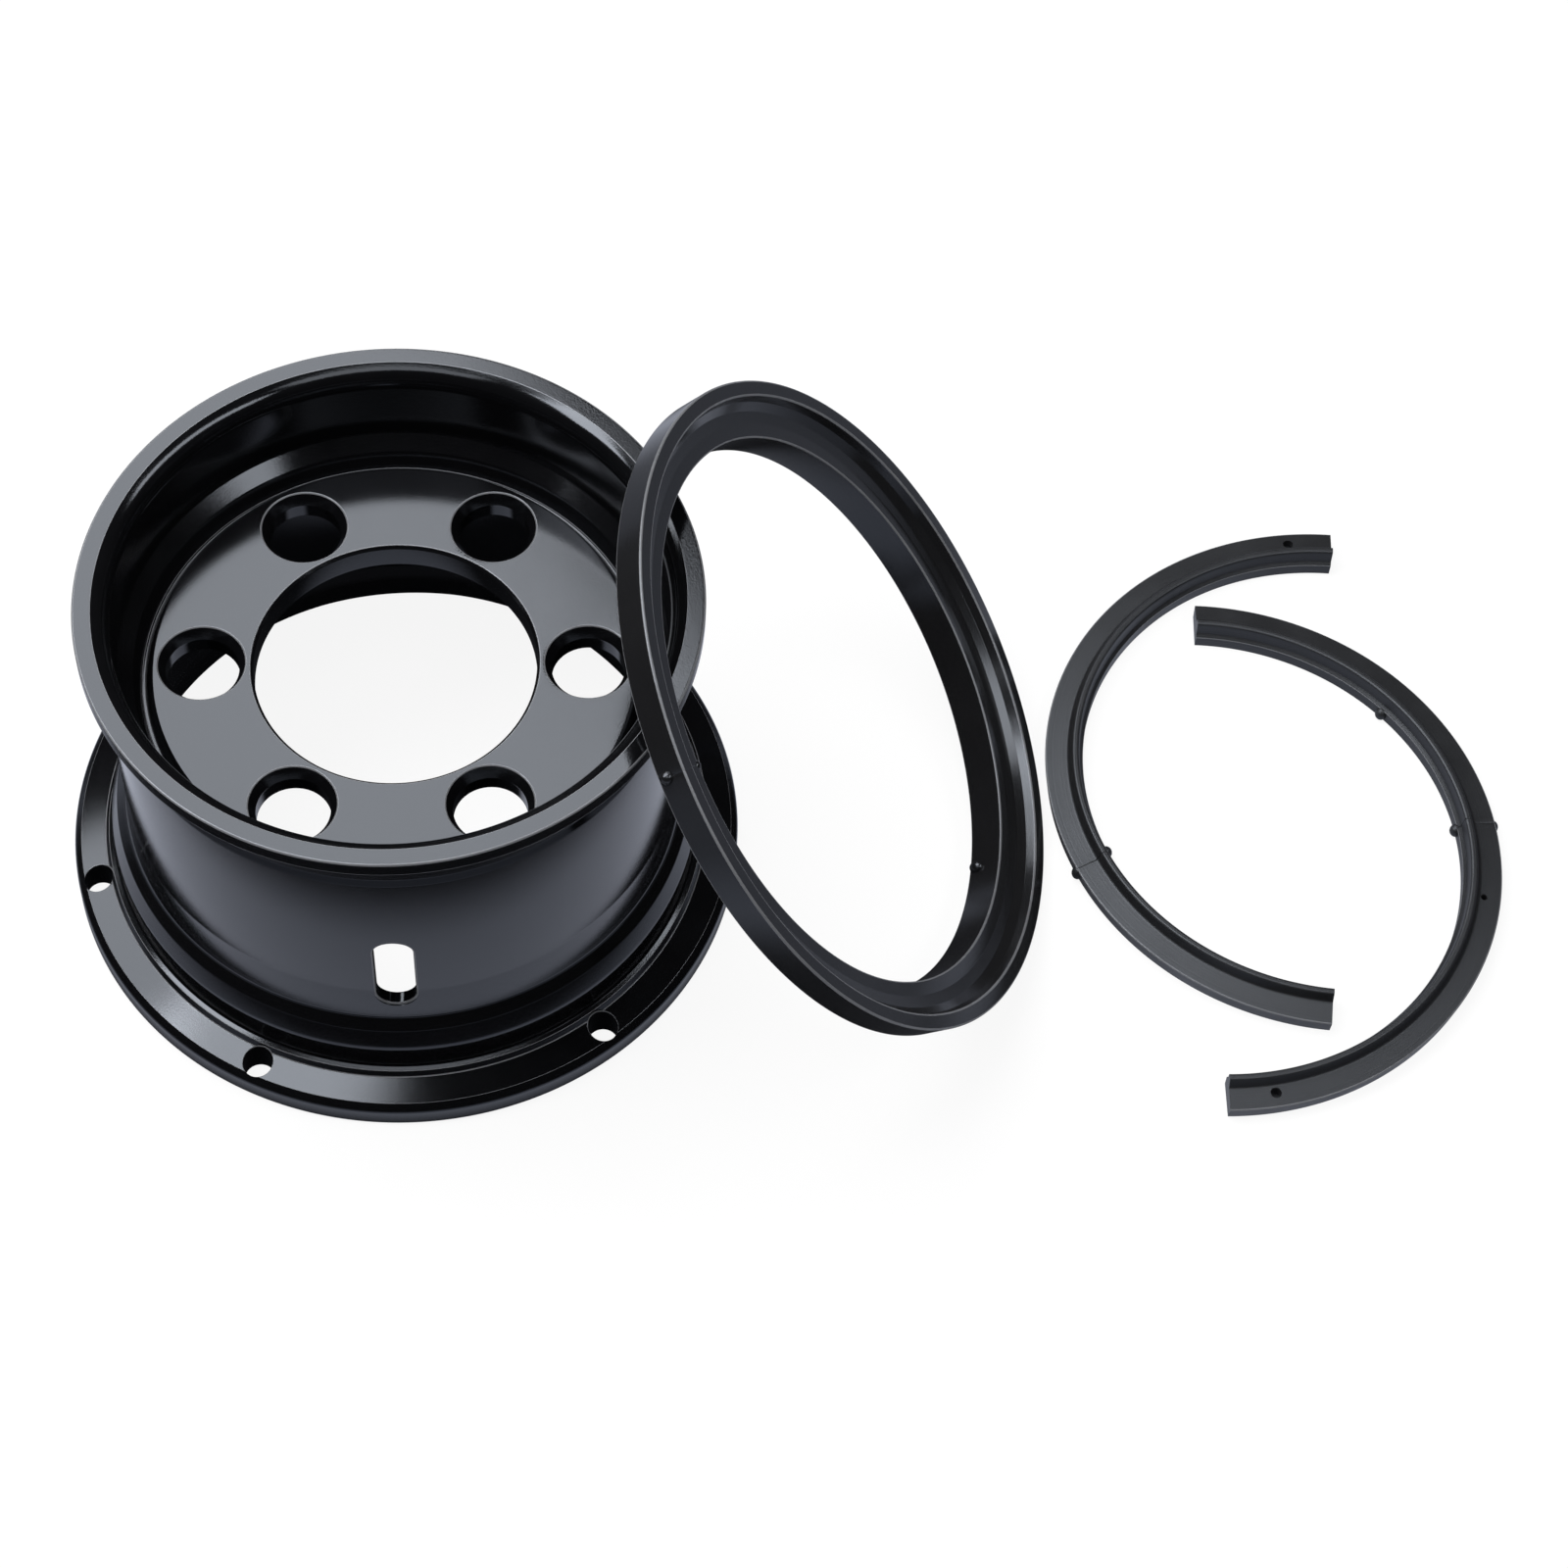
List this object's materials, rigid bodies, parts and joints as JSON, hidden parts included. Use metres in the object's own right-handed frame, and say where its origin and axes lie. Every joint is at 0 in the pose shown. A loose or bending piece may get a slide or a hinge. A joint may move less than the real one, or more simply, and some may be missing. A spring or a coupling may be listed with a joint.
{
  "type": "forklift wheel rim",
  "caption": "Multi-piece industrial wheel rim laid out as a set: flanged barrel with bolted hub disc, a loose side ring leaning on it and a split lock ring lying beside it.",
  "frame": {"origin": "centre of the hub bore in the disc's mounting face, the lower one", "axes": "+Z along the wheel axis, upwards, with the set standing on its flange; +X through a stud hole, towards the loose rings"},
  "size_m": [0.6225, 0.3051, 0.2257],
  "materials": {
    "rim_paint": "satin",
    "ring_paint": "satin",
    "lock_paint": "matte"
  },
  "bodies": {
    "root": {"rim_base": "rim_paint", "wheel_disc": "rim_paint", "side_ring": "ring_paint", "lock_ring_half_a": "lock_paint", "lock_ring_half_b": "lock_paint"}
  },
  "joints": []
}
